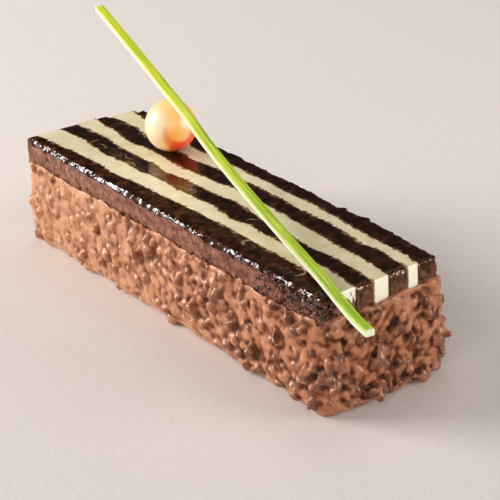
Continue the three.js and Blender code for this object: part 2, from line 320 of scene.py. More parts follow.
block, nuts = coat_block()
coat = add_piece("coat", block, node="coated_base")
remesh = coat.modifiers.new("pour", "REMESH")
remesh.mode = "VOXEL"
remesh.voxel_size = coat_voxel
apply_modifiers(coat)
skin = bmesh.new()
skin.from_mesh(coat.data)
join_flats(skin)
soften(skin, [v for v in skin.verts if v.co.z > underside], coat_smoothing)
swell_skin(skin)
proud, facing_painted_shade = read_relief(skin)
paint_coat(skin, nuts, proud, facing_painted_shade)
skin.to_mesh(coat.data)
skin.free()
for face in coat.data.polygons:
    face.use_smooth = True


def new_material(name):
    """A material with its Principled shader, and its node tree."""
    material = bpy.data.materials.new(name)
    material.use_nodes = True
    return material, material.node_tree


def feed(tree, socket, value):
    """Sets an input to a value, or joins it to another node's output."""
    if isinstance(value, bpy.types.NodeSocket):
        tree.links.new(value, socket)
    else:
        socket.default_value = value


def add_node(tree, kind, **settings):
    """A shader node with its settings made and its inputs fed. In a name, _ is a space."""
    node = tree.nodes.new(kind)
    for key, value in settings.items():
        name = key.replace("_", " ")
        if name in node.inputs:
            feed(tree, node.inputs[name], value)
        else:
            setattr(node, key, value)
    return node


def dress(tree, **finish):
    """Feeds the inputs of a material's Principled shader."""
    shader = tree.nodes["Principled BSDF"]
    for key, value in finish.items():
        feed(tree, shader.inputs[key.replace("_", " ")], value)


def place_on(tree):
    """The place on the piece, in Object coordinates."""
    return add_node(tree, "ShaderNodeTexCoord").outputs["Object"]


def painted(tree, layer, output="Fac"):
    """What a layer painted on the piece's points says."""
    return add_node(tree, "ShaderNodeAttribute", attribute_name=layer).outputs[output]


def cloudy(tree, place, scale, detail, roughness=0.5):
    """Noise from 0 to 1."""
    return add_node(tree, "ShaderNodeTexNoise", Vector=place, Scale=scale, Detail=detail,
                    Roughness=roughness).outputs["Fac"]


def spread(tree, value, low, high, to_low=0.0, to_high=1.0):
    """Makes a value's run from low to high a run from to_low to to_high."""
    return add_node(tree, "ShaderNodeMapRange", Value=value, From_Min=low, From_Max=high,
                    To_Min=to_low, To_Max=to_high).outputs["Result"]


def toned(tree, value, *stops):
    """Turns a value into a colour. Each stop is a place and its colour or its grey."""
    ramp = add_node(tree, "ShaderNodeValToRGB", Fac=value)
    elements = ramp.color_ramp.elements
    while len(elements) < len(stops):
        elements.new(0.5)
    for element, (place, colour) in zip(elements, stops):
        element.position = place
        element.color = (*colour, 1) if isinstance(colour, tuple) else (colour, colour, colour, 1)
    return ramp.outputs["Color"]


def mixed(tree, first, second, share=1.0, blend="MIX"):
    """Mixes two colours, each a value or a node's output, by a share of the second."""
    first, second = ((*colour, 1) if isinstance(colour, tuple) else colour
                     for colour in (first, second))
    return add_node(tree, "ShaderNodeMix", data_type="RGBA", blend_type=blend,
                    Factor=share, A=first, B=second).outputs["Result"]


def shaded(tree, colour, shade):
    """A colour times a shade."""
    return mixed(tree, colour, shade, blend="MULTIPLY")


def worked_out(tree, operation, *values):
    """A Math node on the given values and outputs."""
    node = add_node(tree, "ShaderNodeMath", operation=operation)
    for socket, value in zip(node.inputs, values):
        feed(tree, socket, value)
    return node.outputs["Value"]


def bumped(tree, height, distance, strength=1.0):
    """The normal of a surface raised by a height."""
    return add_node(tree, "ShaderNodeBump", Height=height, Distance=distance,
                    Strength=strength).outputs["Normal"]


def new_effect(name, inputs, output):
    """A node group for an effect that several materials use. Place is a vector, and
    every other input is a number."""
    group = bpy.data.node_groups.new(name, "ShaderNodeTree")
    for label in inputs:
        kind = "NodeSocketVector" if label == "Place" else "NodeSocketFloat"
        group.interface.new_socket(label, in_out="INPUT", socket_type=kind)
    group.interface.new_socket(output, in_out="OUTPUT", socket_type="NodeSocketFloat")
    given = group.nodes.new("NodeGroupInput").outputs
    result = group.nodes.new("NodeGroupOutput").inputs[output]
    return group, given, result


def along_effect():
    """The share of the way along the cake, from Start at 0 to End at 1."""
    group, given, result = new_effect("along_cake", ("Place", "Start", "End"), "Share")
    axes = add_node(group, "ShaderNodeSeparateXYZ", Vector=given["Place"])
    feed(group, result, spread(group, axes.outputs["X"], given["Start"], given["End"]))
    return group


def grain_effect():
    """The height of a food's fine grain, Depth high at most."""
    group, given, result = new_effect("fine_grain", ("Place", "Scale", "Detail", "Depth"), "Height")
    grain = cloudy(group, given["Place"], given["Scale"], given["Detail"])
    feed(group, result, worked_out(group, "MULTIPLY", grain, given["Depth"]))
    return group


along_cake = along_effect()
fine_grain = grain_effect()


def placed(tree, effect, **inputs):
    """The output of an effect placed in a material with its own values."""
    return add_node(tree, "ShaderNodeGroup", node_tree=effect, **inputs).outputs[0]


def chocolate_finish():
    """Milk chocolate with painted shade in its hollows, pale painted sheen in patches, and roasted
    nuts showing through with painted shade on their sides. It grows browner and glossier towards the
    near end."""
    material, tree = new_material("milk_chocolate")
    place = place_on(tree)
    along = placed(tree, along_cake, Place=place, Start=-0.06, End=0.12)
    relief = spread(tree, painted(tree, "relief"), -0.5, 0.9)
    body = mixed(tree, (0.60, 0.298, 0.152), (0.46, 0.178, 0.08), along)
    # Painted shade in the hollows, and the nuts' own browner colour on the crests
    hollow_shade_and_crest_tone = toned(
        tree, relief,
        (0.0, (0.06, 0.022, 0.012)),
        (0.2, (0.36, 0.23, 0.17)),
        (0.36, (0.92, 0.86, 0.82)),
        (0.55, (1.1, 1.1, 1.08)),
        (0.7, (0.95, 0.88, 0.8)),
        (0.86, (0.7, 0.52, 0.4)),
        (1.0, (0.8, 0.45, 0.2)),
    )
    mottle = cloudy(tree, place, 170, 4)
    # Tone that differs at random, with pale patches of painted sheen
    patches = toned(tree, mottle, (0.3, (0.74, 0.68, 0.64)), (0.7, (1.2, 1.26, 1.34)))
    chocolate = shaded(tree, shaded(tree, body, hollow_shade_and_crest_tone), patches)
    dark_nut = toned(tree, mottle, (0.35, (0.06, 0.012, 0.004)), (0.65, (0.2, 0.052, 0.017)))
    nut = mixed(tree, (0.36, 0.105, 0.038), dark_nut, along)
    wet = cloudy(tree, place, 80, 3)
    gloss = toned(tree, relief, (0.25, 0.03), (0.58, 0.9))
    glossier = spread(tree, along, 0, 1, 0.55, 1)
    grain = placed(tree, fine_grain, Place=place, Scale=750, Detail=4, Depth=1)
    dress(
        tree,
        Base_Color=mixed(tree, chocolate, nut, painted(tree, "nut_and_painted_shade")),
        Roughness=spread(tree, wet, 0.35, 0.65, 0.32, 0.6),
        Specular_IOR_Level=0.32,
        Specular_Tint=(1.0, 0.82, 0.68, 1),
        Coat_Weight=worked_out(tree, "MULTIPLY", gloss, glossier),
        Coat_Roughness=0.2,
        Normal=bumped(tree, grain, 0.7 * mm, 0.65),
    )
    return material


coat.data.materials.clear()
coat.data.materials.append(chocolate_finish())


# ---------------------------------------------------------------------------
# The sponge strips. Upright strips of dark chocolate sponge, cut to the cake's length
# by hand and set in the slab with cream between them. A clear glaze is brushed over
# the top and runs down the near edge.
slab_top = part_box("cream_strip_2")[1].z
slab_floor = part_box("dark_strip_1")[0].z
near_end_x = 122.6 * mm
far_end_x = -126 * mm
end_fade = 4.0 * mm
glaze_edge = 1.7 * mm
glaze_fall = 2.3 * mm
glaze_bend = 1.3
seam_edge = 0.3 * mm
along_cells = 490
end_cells = 10
end_step = 0.3 * mm
sponge_across = 28
sponge_step = 0.29 * mm
outer_sponge_up = 22
inner_sponge_up = 10

# How far each seam lies from the middle of the cake, every 10 mm from left to right
seam_start = -120 * mm
seam_pace = 10 * mm
seams = (
    (-34.0,) * 25,
    (-28.0, -27.5, -26.6, -25.2, -25.0, -24.7, -25.4, -25.5, -23.8, -23.0, -23.0, -22.6, -21.6,
     -21.0, -21.0, -20.3, -20.3, -20.5, -20.5, -20.3, -20.5, -20.6, -21.2, -23.0, -24.7),
    (-14.4, -13.5, -13.0, -14.0, -15.4, -14.6, -13.5, -14.2, -12.5, -12.5, -12.1, -12.0, -11.7,
     -10.8, -12.0, -13.0, -10.4, -11.6, -11.1, -11.0, -11.4, -11.8, -12.3, -12.6, -14.0),
    (-5.0, -4.1, -3.0, -3.8, -5.0, -5.0, -4.8, -4.0, -5.4, -4.0, -3.3, -3.0, -2.9,
     -1.0, -0.8, -2.0, -3.6, -4.0, -3.2, -4.5, -4.4, -3.0, -3.4, -4.0, -4.8),
    (7.0, 5.6, 5.8, 3.8, 3.2, 5.0, 5.0, 4.5, 4.2, 5.0, 6.0, 6.5, 8.4,
     8.6, 8.7, 8.6, 8.8, 7.5, 7.0, 7.2, 6.5, 6.0, 6.0, 5.5, 4.0),
    (13.0, 15.8, 16.0, 14.8, 14.2, 14.0, 14.0, 14.0, 13.6, 15.0, 16.0, 16.3, 17.4,
     18.0, 17.8, 17.6, 17.0, 17.2, 18.0, 17.5, 16.6, 15.1, 17.0, 16.0, 14.8),
    (27.5, 27.0, 25.8, 25.0, 24.2, 23.8, 23.3, 23.0, 24.0, 24.8, 25.0, 24.2, 24.7,
     25.3, 24.6, 25.0, 25.5, 25.0, 24.8, 24.0, 23.5, 23.0, 22.5, 23.0, 21.5),
    (33.0, 33.4, 33.4, 33.4, 33.4, 33.4, 33.4, 33.4, 33.3, 34.0, 33.5, 34.0, 33.2,
     34.0, 34.2, 34.3, 33.5, 32.7, 33.8, 34.6, 34.5, 34.0, 33.5, 32.8, 32.4),
)

# Flakes that stand out from the far edge: place along the cake, reach and half width
flakes = ((55 * mm, 2.0 * mm, 1.8 * mm), (71 * mm, 1.6 * mm, 2.2 * mm))

# Thin curls of cream drawn out over the sponge by the knife: the middle of each in mm,
# its radius, the angles where it starts and ends, and its width
curls = (
    (-91, -10, 5.5, 150, 330, 0.9),
    (-88, -14, 4.5, 40, 150, 0.7),
    (-66, -6, 4.0, 200, 330, 0.6),
    (-58, -17, 5.5, 40, 150, 0.8),
    (-103, 9, 6.0, 60, 160, 0.6),
    (-86, 8.5, 5.0, 20, 130, 0.6),
    (54.5, -23, 2.4, 60, 300, 1.3),
    (94, -24, 3.2, -60, 170, 1.1),
    (39, -9, 4.5, 100, 200, 0.6),
)
curl_margin = 2


def seam_y(index, x):
    """Where a seam runs, with the ragged edge that the sponge's crumbs give it."""
    seam = seams[index]
    place = min(max((x - seam_start) / seam_pace, 0), len(seam) - 1.001)
    i = int(place)
    share = smooth_step(place - i, 0, 1)
    y = mm * (seam[i] + (seam[i + 1] - seam[i]) * share)
    if index == 0:
        return y
    p = Vector((x / mm, index * 31.7, 0))
    if index == 7:
        y += sum(reach * math.exp(-((x - at) / half) ** 2) for at, reach, half in flakes)
        return y + mm * bumps(p, (0.6, 3.1), (0.45, 1.3))
    fade = smooth_step(near_end_x - x, 0, end_fade) * smooth_step(x - far_end_x, 0, end_fade)
    return y + fade * mm * bumps(p, (0.5, 2.6), (0.65, 0.95))


def fine_block(along, across, up):
    """A box from 0 to 1, cut into a grid of that many cells each way."""
    block = bmesh.new()
    bmesh.ops.create_cube(block, size=1)
    bmesh.ops.translate(block, verts=block.verts, vec=(0.5, 0.5, 0.5))
    for axis, cells in enumerate((along, across, up)):
        run = [e for e in block.edges if abs(e.verts[0].co[axis] - e.verts[1].co[axis]) > 0.5]
        bmesh.ops.subdivide_edges(block, edges=run, cuts=cells - 1, use_grid_fill=True)
    return block


def graded(share, cells, low, high, fine, step):
    """Even cells from low to high, but for a few fine ones at each end."""
    index = round(share * cells)
    if index <= fine:
        return low + step * index
    if index >= cells - fine:
        return high - step * (cells - index)
    inner = (index - fine) / (cells - 2 * fine)
    return low + step * fine + (high - low - 2 * step * fine) * inner


def round_drop(distance, radius, height=None, bend=2.0):
    """How far a rounded edge lies below the flat top, at a distance from the side."""
    if distance >= radius:
        return 0
    share = min(1 - distance / radius, 1)
    return (height or radius) * (1 - (1 - share ** bend) ** (1 / bend))


def crumb_relief(x, y, z):
    """Relief of the cut sponge in mm: crumbs and small torn pits, deeper near the end."""
    p = Vector((x, y, z)) / mm
    pits = min(bumps(p, (1, 2.1)) + 0.08, 0)
    torn = min(noise.noise(Vector((p.x / 5, p.y / 5, p.z / 2.2))) + 0.2, 0)
    deep = 0.45 + smooth_step(x, 70 * mm, 115 * mm)
    return bumps(p, (0.3, 3.2), (0.25, 1.15)) + deep * (pits + torn)


def curl_share(x, y):
    """How much cream lies on the sponge at a place."""
    most = 0
    for at_x, at_y, radius, first, last, width in curls:
        dx = x / mm - at_x
        dy = y / mm - at_y
        if max(abs(dx), abs(dy)) > radius + curl_margin:
            continue
        turn = (math.degrees(math.atan2(dy, dx)) - first) % 360
        span = last - first
        if turn > span:
            continue
        taper = math.sin(math.pi * turn / span) ** 0.5
        wander = 0.7 * noise.noise(Vector((dx / 1.7, dy / 1.7, at_x)))
        off = abs(math.hypot(dx, dy) - radius + wander)
        most = max(most, 0.9 - 0.9 * smooth_step(off, 0.1 * width * taper, 0.6 * width * taper + 0.05))
    return most


def shine_at(p, x, number, drop, to_end):
    """How well the glaze is polished at a point: bright beads along the rolled edges,
    softer patches on the top."""
    if to_end < glaze_edge:
        return smooth_step(bumps(p, (1, 1.6), (0.6, 0.8)), 0.12, 0.26)
    if drop > 0.1 * mm:
        sparse = 0.3 * smooth_step(x, -90 * mm, 0.0)
        return smooth_step(bumps(p, (1, 4.2), (0.6, 1.6)), sparse - 0.45, sparse - 0.27)
    if number == 1:
        return 0.16 + 0.5 * smooth_step(bumps(p, (1, 1.3)), 0.35, 0.6)
    return (0.6 if number == 2 else 0.5) + bumps(p, (0.3, 5.5), (0.12, 1.9))


def sponge_strip(number):
    """A strip from seam to seam, with rolled glazed edges and torn crumb where it is cut.
    Its points are painted with the glaze, its polish, the crumb's depth, the smeared
    cream and the thin fringe of glaze along the seams."""
    far_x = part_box(f"dark_strip_{number}")[0].x
    first = number == 1
    last = number == 4
    outer = first or last
    block = fine_block(along_cells, sponge_across, outer_sponge_up if outer else inner_sponge_up)
    glaze = block.verts.layers.float.new("glaze")
    polish = block.verts.layers.float.new("polish")
    depth = block.verts.layers.float.new("depth")
    smear = block.verts.layers.float.new("smear")
    fringe = block.verts.layers.float.new("fringe")
    for v in block.verts:
        u, s, w = v.co
        on_near_side = first and s < 0.001
        on_far_side = last and s > 0.999
        on_near_end = u > 0.999
        on_far_end = u < 0.001
        on_top = w > 0.999

        # The smooth strip, with its edges rolled over
        x = graded(u, along_cells, far_x, near_end_x, end_cells, end_step)
        to_end = min(x - far_x, near_end_x - x)
        y_near = seam_y(2 * number - 2, x)
        y_far = seam_y(2 * number - 1, x)
        y = graded(s, sponge_across, y_near, y_far, 9 if outer else 5, sponge_step)
        roll = 1.1 + 0.7 * noise.noise(Vector((x / mm / 7, y / mm / 7, 2.2)))
        drop = round_drop(to_end, glaze_edge * roll, glaze_fall * roll, glaze_bend)
        if first:
            drop = max(drop, round_drop(y - y_near, glaze_edge * roll, glaze_fall * roll, glaze_bend))
        else:
            drop = max(drop, round_drop(y - y_near, seam_edge))
        drop = max(drop, round_drop(y_far - y, glaze_edge if last else seam_edge))
        z = slab_floor + (slab_top - drop - slab_floor) * w
        p = Vector((x, y, z)) / mm

        # The painted layers
        crumbled = 1 if first else 0.35 * on_near_end
        broken = smooth_step(x, 76 * mm, 102 * mm) * crumbled
        run_over = 1.5 * noise.noise(Vector((x / mm / 3.4, y / mm / 3.4, 0)))
        run_over += 8 * broken * (0.6 + bumps(p, (1, 2.2)))
        covered = smooth_step((z - slab_top + glaze_fall * roll) / mm + run_over, -0.4, 0.4)
        v[glaze] = 1.0 if on_top else covered
        v[polish] = max(shine_at(p, x, number, drop, to_end), 0.06) * v[glaze]
        seam_gap = (y_far - y if first else min(y - y_near, y_far - y)) / mm
        v[fringe] = 1 - smooth_step(seam_gap + bumps(p, (0.8, 2.4)), 0.0, 1.8)
        if first:
            v[fringe] = max(v[fringe], 0.5 + bumps(p, (0.9, 3.5)))
        rough = crumb_relief(x, y, z)
        if on_near_side or on_far_side or on_near_end or on_far_end:
            v[depth] = rough

        # The ripple of the glaze and the torn crumb of the cut faces
        if on_top:
            v[smear] = curl_share(x, y)
            ripple = 0.3 if first else 0.17
            z += mm * ripple * bumps(p, (0.5, 6), (0.3, 2.4))
            z += mm * 0.12 * v[smear]
        edge = smooth_step(drop / mm, 0.02, 0.5)
        z += mm * edge * bumps(p, (0.5, 4.2), (0.1, 1.3))
        if on_near_side:
            y -= mm * rough * (1 - 0.4 * covered) * (0.8 + 1.6 * broken)
        elif on_far_side:
            y += mm * rough * (1 - 0.5 * covered)
        elif first and edge > 0:
            y += mm * edge * 0.6 * noise.noise(p / 1.7 + Vector((9, 0, 0)))
        if on_near_end:
            x += mm * rough * (0.5 + 1.1 * broken)
            y += mm * 0.3 * noise.noise(p / 1.8 + Vector((0, 5, 0)))
        elif on_far_end:
            x -= mm * rough * 0.5
        v.co = (x, y, z)
    bmesh.ops.recalc_face_normals(block, faces=block.faces)
    return block


def sponge_finish(name, gleam, near_colour):
    """Dark sponge: nearly black and mirror-like under the glaze, dry and browner where it
    is cut, with the dry crumb's colour at the cake's near end given, and painted shade in its pits."""
    material, tree = new_material(name)
    place = place_on(tree)
    glaze = painted(tree, "glaze")
    polish = painted(tree, "polish")
    patches = cloudy(tree, place, 210, 6, 0.65)
    thin = worked_out(tree, "MULTIPLY_ADD", painted(tree, "fringe"), 0.13, patches)
    wet = toned(
        tree, thin,
        (0.4, (0.005, 0.0012, 0.0006)),
        (0.54, (0.016, 0.004, 0.0018)),
        (0.66, (0.06, 0.014, 0.005)),
        (0.8, (0.15, 0.045, 0.016)),
    )
    along = placed(tree, along_cake, Place=place, Start=-0.12, End=0.12)
    body = mixed(tree, (0.44, 0.213, 0.146), near_colour, along)
    specks = cloudy(tree, place, 270, 5, 0.75)
    flecks = toned(tree, specks, (0.32, (0.42, 0.36, 0.32)), (0.5, (0.9, 0.88, 0.86)), (0.72, 1.35))
    # Painted shade in the pits of the torn crumb
    pits = spread(tree, painted(tree, "depth"), -0.7, 0.3, 0.12)
    dry = shaded(tree, shaded(tree, body, flecks), pits)
    crust = mixed(tree, dry, wet, glaze)
    depth_of_grain = spread(tree, glaze, 0, 1, 0.9, 0.06)
    grain = placed(tree, fine_grain, Place=place, Scale=800, Detail=4, Depth=depth_of_grain)
    dress(
        tree,
        Base_Color=mixed(tree, crust, (0.42, 0.3, 0.14), painted(tree, "smear")),
        Roughness=toned(tree, polish, (0.0, 0.75), (0.5, 0.14), (1.0, 0.08)),
        IOR=1.6,
        Specular_IOR_Level=gleam,
        Specular_Tint=(1.0, 0.42, 0.18, 1),
        Coat_Weight=toned(tree, polish, (0.0, 0.0), (0.65, 0.17), (0.95, 1.0)),
        Coat_Roughness=0.04,
        Coat_IOR=1.6,
        Normal=bumped(tree, grain, 0.8 * mm),
    )
    return material


edge_sponge = sponge_finish("edge_sponge", 0.06, (0.33, 0.14, 0.096))
inner_sponge = sponge_finish("inner_sponge", 0.62, (0.19, 0.085, 0.06))
for number in (1, 2, 3, 4):
    add_piece(f"sponge_{number}", sponge_strip(number), node=f"dark_strip_{number}",
              material=edge_sponge if number == 1 else inner_sponge)


# ---------------------------------------------------------------------------
# The cream strips. Pale set cream piped between the strips of sponge, cut off flush
# with them at both ends and covered by the same glaze. Crumbs stain it along the seams.
cream_edge = 0.35 * mm
seam_overlap = 1.2 * mm
cream_across = 22
cream_up = 5
cream_step = 0.35 * mm
below_sponge = 0.06 * mm


def cream_strip(number):
    """A strip from seam to seam, tucked a little under the sponge's ragged edges. Its
    points are painted with the crumbs' stain and with which of them lie on a cut end."""
    low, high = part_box(f"cream_strip_{number}")
    block = fine_block(along_cells, cream_across, cream_up)
    stain = block.verts.layers.float.new("stain")
    cut = block.verts.layers.float.new("cut_face")
    for v in block.verts:
        u, s, w = v.co
        smeared_end = number == 1 and u > 0.999
        x = graded(u, along_cells, low.x, high.x, 4, end_step)
        to_end = min(x - low.x, high.x - x)
        tuck = seam_overlap * smooth_step(to_end, 0.4 * mm, end_fade)
        y_near = seam_y(2 * number - 1, x)
        y_far = seam_y(2 * number, x)
        y = graded(s, cream_across, y_near - tuck, y_far + tuck, 8, cream_step)
        seam_gap = min(y - y_near, y_far - y) / mm
        p = Vector((x, y, 0)) / mm
        v[stain] = 1 - smooth_step(seam_gap + bumps(p, (1.1, 2.2), (0.7, 9)), -0.2, 1.3)
        if smeared_end:
            height = w + 0.5 * noise.noise(Vector((y / mm, w * 12, 3)) / 1.6)
            v[stain] = 1.4 - 1.4 * smooth_step(height, 0.45, 0.75)
        v[cut] = 1.0 if u > 0.999 or u < 0.001 else 0.0
        top = slab_top - round_drop(to_end, cream_edge) - below_sponge
        top += mm * bumps(p, (0.12, 7), (0.03, 2))
        z = slab_floor + (top - slab_floor) * w
        if smeared_end:
            x += mm * 0.5 * noise.noise(Vector((y, z, 0)) / mm / 2)
        v.co = (x, y, z)
    bmesh.ops.recalc_face_normals(block, faces=block.faces)
    return block


def cream_finish():
    """Pale cream, clouded under a thin glaze, spotted with crumbs along the seams. Its bare cut
    ends are paler, partly as painted light, and painted shade darkens it a little towards the near
    end."""
    material, tree = new_material("glazed_cream")
    place = place_on(tree)
    clouds = cloudy(tree, place, 120, 4)
    tone = toned(
        tree, clouds,
        (0.3, (0.82, 0.70, 0.40)),
        (0.5, (0.91, 0.79, 0.50)),
        (0.7, (0.96, 0.87, 0.59)),
    )
    along = placed(tree, along_cake, Place=place, Start=-0.01, End=0.09)
    # Painted shade: the cream darkens towards the near end, where the lamps' light falls off
    shaded_towards_near_end = shaded(tree, tone, toned(tree, along, (0.0, 0.97), (1.0, (0.84, 0.83, 0.8))))
    # The bare cut ends are paler: partly the cream's own colour, partly painted light where the lamps
    # reach them less
    with_pale_cut_ends = mixed(tree, shaded_towards_near_end, (1.0, 0.95, 0.72), painted(tree, "cut_face"))
    crumbs = cloudy(tree, place, 620, 5, 0.7)
    amount = worked_out(tree, "MULTIPLY_ADD", painted(tree, "stain"), 0.75, crumbs)
    grain = placed(tree, fine_grain, Place=place, Scale=700, Detail=3, Depth=1)
    dress(
        tree,
        Base_Color=mixed(tree, with_pale_cut_ends, (0.2, 0.085, 0.03), spread(tree, amount, 0.78, 1.05)),
        Roughness=0.4,
        Coat_Weight=0.6,
        Coat_Roughness=0.08,
        Subsurface_Weight=0.2,
        Subsurface_Radius=(1.0, 0.8, 0.5),
        Subsurface_Scale=2 * mm,
        Normal=bumped(tree, grain, 0.3 * mm, 0.12),
    )
    return material


cream_material = cream_finish()
for number in (1, 2, 3):
    add_piece(f"cream_{number}", cream_strip(number), node=f"cream_strip_{number}",
              material=cream_material)


# ---------------------------------------------------------------------------
# Crumbs. Bits of dark sponge torn off by the knife, which the glaze has stuck to the
# slab's near corner, to its cut end and along the line where the coat begins.
crumb_seed = 12
crumb_count = 300
crumb_radius = (0.25 * mm, 0.95 * mm)

# Where the crumbs lie, in mm: on the cut end, at the near corner, and along the coat's line
cut_end_across = (-34, -25)
cut_end_heights = (46, 60)
corner_length = 48
corner_heights = (46, 60.5)
coat_line_start = -120
coat_line_length = 240
coat_line_heights = (45.4, 46.8)


def crumb_heap():
    """Small broken lumps set where lines from outside meet the near strip. Of every six,
    one lies on the cut end, one along the coat's line and four at the near corner."""
    draw = random.Random(crumb_seed)
    wall = BVHTree.FromObject(bpy.data.objects["sponge_1"], bpy.context.evaluated_depsgraph_get())
    heap = bmesh.new()
    for i in range(crumb_count):
        kind = i % 6
        if kind == 0:
            y = draw.uniform(*cut_end_across) * mm
            start = Vector((beyond_cake, y, draw.uniform(*cut_end_heights) * mm))
            aim = Vector((-1, 0, 0))
        elif kind == 1:
            x = (coat_line_start + coat_line_length * draw.random() ** 0.7) * mm
            start = Vector((x, -beside_cake, draw.uniform(*coat_line_heights) * mm))
            aim = Vector((0, 1, 0))
        else:
            x = near_end_x - corner_length * mm * draw.random() ** 1.8
            start = Vector((x, -beside_cake, draw.uniform(*corner_heights) * mm))
            aim = Vector((0, 1, 0))
        spot, normal, _, _ = wall.ray_cast(start, aim)
        if spot is None:
            continue
        radius = crumb_radius[0] + (crumb_radius[1] - crumb_radius[0]) * draw.random() ** 1.6
        corners = broken_lump(heap, radius, 0.6, 1.3, spot * 700)
        bmesh.ops.translate(heap, verts=corners, vec=spot + normal * radius * 0.15)
    return heap


def crumb_finish():
    """Nearly black crumbs, wet with glaze."""
    material, tree = new_material("dark_crumbs")
    bits = cloudy(tree, place_on(tree), 600, 2)
    dress(
        tree,
        Base_Color=toned(
            tree, bits,
            (0.35, (0.01, 0.0025, 0.0012)),
            (0.5, (0.035, 0.009, 0.004)),
            (0.65, (0.17, 0.055, 0.028)),
        ),
        Roughness=0.45,
        Specular_Tint=(1.0, 0.6, 0.4, 1),
        Coat_Weight=0.7,
        Coat_Roughness=0.08,
    )
    return material


add_piece("crumbs", crumb_heap(), material=crumb_finish())


# ---------------------------------------------------------------------------
# The ball. A moulded shell, glazed and set on the slab, coloured from cream to orange with a
# red-orange crescent low on its shown side. The cream round its left side is partly painted light,
# a painted highlight sits on its right, painted shade darkens its underside, and it glows faintly.
ball_low, ball_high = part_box("ball")
ball_centre = (ball_low + ball_high) / 2
ball_radius = (ball_high.x - ball_low.x) / 2
ball_meridians = 96
ball_parallels = 64
ball_lit_cream = (0.82, 0.66, 0.40)
ball_peach = (0.92, 0.56, 0.20)
ball_amber = (0.93, 0.40, 0.08)
ball_painted_highlight = (1.0, 0.9, 0.78)
ball_shadow = (0.30, 0.10, 0.03)
crescent_start = (0.82, 0.27, 0.07)
crescent_middle = (0.88, 0.08, 0.025)
crescent_end = (0.93, 0.19, 0.07)


def mix_colours(a, b, share):
    """A colour a share of the way from a to b."""
    return tuple(p + (q - p) * share for p, q in zip(a, b))


def soft_spot(a, b, at_a, at_b, size):
    """How much of a soft spot lies at (a, b); such spots give both colour and a painted highlight."""
    return math.exp(-((a - at_a) ** 2 + (b - at_b) ** 2) / size)


def ball_colour(normal):
    """Colour at a point of the ball, from its unit normal, with painted light and shade in it. On
    its shown side a runs to the right and b upwards, from -1 to 1."""
    a = normal.dot(view_right)
    b = normal.dot(view_up)
    front = normal.dot(towards_camera)
    # Pale cream round the left, where the key light's highlight falls: partly the shell's colour,
    # partly painted light
    warm = smooth_step(math.hypot(a + 0.62, 0.6 * b + 0.03), 0.25, 0.7)
    colour = mix_colours(ball_lit_cream, ball_peach, warm)
    colour = mix_colours(colour, ball_amber, soft_spot(a, b, 0.16, -0.46, 0.12))
    # A pale painted highlight on the right of the shown side
    colour = mix_colours(colour, ball_painted_highlight, soft_spot(a, b, 0.66, 0.07, 0.035))

    # The crescent goes round a disc whose middle lies low and to the right
    right = a - 0.33
    above = b + 0.24
    reach = math.hypot(right, above)
    turn = math.degrees(math.atan2(-above, -right))
    outer = 0.56 + 0.14 * smooth_step(turn, 0, 60) + 0.5 * smooth_step(turn, 50, 95)
    band = smooth_step(reach, 0.36, 0.48) * (1 - smooth_step(reach, outer - 0.1, outer + 0.12))
    band *= smooth_step(turn, -50, 35) * (1 - smooth_step(turn, 165, 185))
    red = mix_colours(crescent_start, crescent_middle, smooth_step(turn, 25, 80))
    red = mix_colours(red, crescent_end, smooth_step(turn, 110, 160))
    strength = 0.85 + 0.15 * smooth_step(turn, 10, 60)
    colour = mix_colours(colour, red, band * strength * smooth_step(front, -0.6, 0.0))
    return mix_colours(colour, ball_shadow, 0.85 * smooth_step(-normal.z, 0.62, 0.85))


def ball_shell():
    """The ball, with its colour, painted light and shade among it, painted on its points."""
    shell = bmesh.new()
    bmesh.ops.create_uvsphere(shell, u_segments=ball_meridians, v_segments=ball_parallels,
                              radius=ball_radius)
    tint = shell.verts.layers.float_color.new("tint")
    for v in shell.verts:
        v[tint] = (*ball_colour(v.co.normalized()), 1)
    bmesh.ops.translate(shell, verts=shell.verts, vec=ball_centre)
    return shell


def shell_finish():
    """Cocoa butter under a thin glaze, which lets some light through; a faint glow in its own colour
    is painted light standing in for it.
    """
    material, tree = new_material("glazed_shell")
    tint = painted(tree, "tint", "Color")
    dress(
        tree,
        Base_Color=tint,
        Roughness=0.35,
        Coat_Weight=0.3,
        Coat_Roughness=0.2,
        Subsurface_Weight=0.5,
        Subsurface_Radius=(1.0, 0.6, 0.35),
        Subsurface_Scale=5 * mm,
        # Painted light: the shell glows faintly in its own colour
        Emission_Color=tint,
        Emission_Strength=0.2,
    )
    return material


add_piece("shell", ball_shell(), node="ball", material=shell_finish())


# ---------------------------------------------------------------------------
# The stalk. A long square-cut sliver of a fresh green stem: fibrous green skin on
# top, pale flesh at its sides and cut ends. It lies over the ball and the slab's edge.
stalk_half_width = 2.2 * mm
stalk_half_height = 1.7 * mm
stalk_cells = 150
stalk_across = 12
stalk_up = 10
corner_rounding = 0.2
fibre_lengths = 3.2
cad_ring_corners = 10


def stalk_route():
    """Centre line of the CAD stalk, read from its rings of corners."""
    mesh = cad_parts["green_stalk"].data
    corners = sorted({tuple(round(c, 6) for c in v.co) for v in mesh.vertices}, key=lambda c: c[0])
    route = []
    for i in range(0, len(corners), cad_ring_corners):
        ring = [Vector(c) for c in corners[i:i + cad_ring_corners]]
        route.append(sum(ring, Vector()) / len(ring))
    return route


